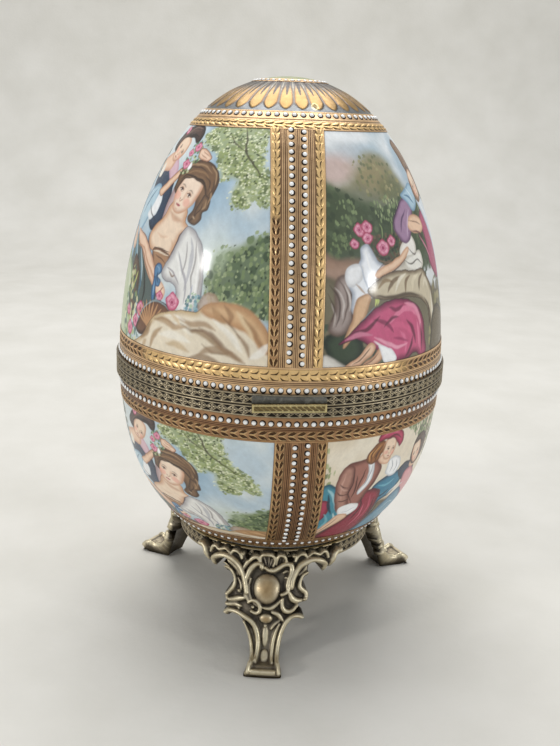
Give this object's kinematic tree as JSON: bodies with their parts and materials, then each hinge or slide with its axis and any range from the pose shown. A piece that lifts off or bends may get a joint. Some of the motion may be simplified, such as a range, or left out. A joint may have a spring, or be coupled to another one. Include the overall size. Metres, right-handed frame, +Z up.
{
  "type": "porcelain trinket box",
  "caption": "Egg-shaped porcelain trinket box with a hinged lid, engraved brass rims, painted panels and beaded gold bands, on a cast brass tripod stand.",
  "frame": {"origin": "on the table under the egg's axis, midway between the front foot and the hinge", "axes": "+Z up along the egg's axis, -Y towards the thumb bar, +Y towards the hinge, +X to the right seen from in front"},
  "size_m": [0.15, 0.1585, 0.2435],
  "materials": {
    "porcelain": "glazed white porcelain, painted outside",
    "rim_brass": "engraved antique brass, dark in the hollows",
    "bright_brass": "polished brass",
    "cast_brass": "cast antique brass, worn bright on the high spots",
    "solder": "dull grey solder",
    "steel": "plain steel",
    "plaster": "matt plaster cement",
    "gasket": "black rubber"
  },
  "bodies": {
    "bowl": {"bowl_shell": "porcelain", "bowl_rim": "rim_brass", "bowl_cement": "plaster", "hinge_leaf_bowl": "rim_brass", "hinge_pin": "bright_brass", "stand_collar": "cast_brass", "base_dish": "cast_brass", "leg_front": "cast_brass", "leg_right": "cast_brass", "leg_left": "cast_brass", "leg_screws": "steel", "lower_gasket": "gasket", "inner_gasket": "gasket", "screw_washer": "bright_brass", "nut_washer": "steel", "stand_nut": "bright_brass", "stand_screw": "bright_brass"},
    "lid": {"lid_shell": "porcelain", "lid_rim": "rim_brass", "lid_cement": "plaster", "hinge_leaf_lid": "rim_brass", "thumb_bar_bed": "solder", "thumb_bar": "bright_brass", "catch_tongue": "bright_brass", "catch_rivets": "bright_brass"}
  },
  "joints": [
    {"name": "lid_hinge", "type": "hinge", "parent": "bowl", "child": "lid", "pos_m": [0, 0.0777, 0.119], "axis": [-1, 0, 0], "range_deg": [0, 95]}
  ]
}
